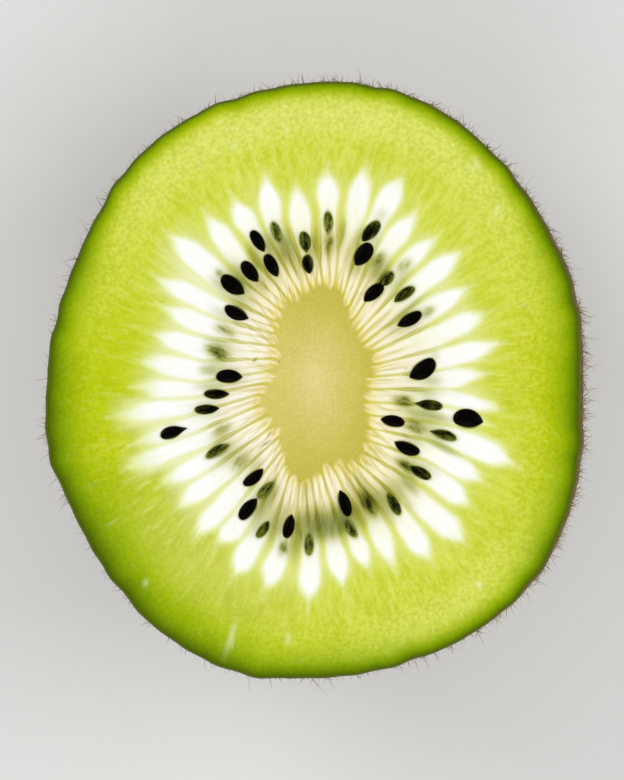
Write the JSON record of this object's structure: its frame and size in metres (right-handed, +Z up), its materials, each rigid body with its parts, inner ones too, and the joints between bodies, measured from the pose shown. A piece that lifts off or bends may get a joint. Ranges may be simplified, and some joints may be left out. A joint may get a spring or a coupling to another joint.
{
  "type": "kiwi fruit half",
  "caption": "Half of a kiwi fruit cut across its middle, lying on its stem end with the seeded green cut face up.",
  "frame": {"origin": "centre of the small flat spot at the stem end that the half rests on, on the fruit's stem axis", "axes": "+Z up along the stem axis to the cut face, +Y along the longer way across the cut face, +X across it"},
  "size_m": [0.0478, 0.0529, 0.0326],
  "materials": {
    "flesh": "wet, finely grained yellow-green fruit flesh with near-white seed chambers",
    "core": "pale, firm, finely grained fruit core",
    "skin": "dry brown fruit skin with fine speckles",
    "seed": "smooth wet black seed coat",
    "hair": "short stiff brown hairs"
  },
  "bodies": {
    "root": {"flesh": "flesh", "core": "core"}
  },
  "joints": []
}
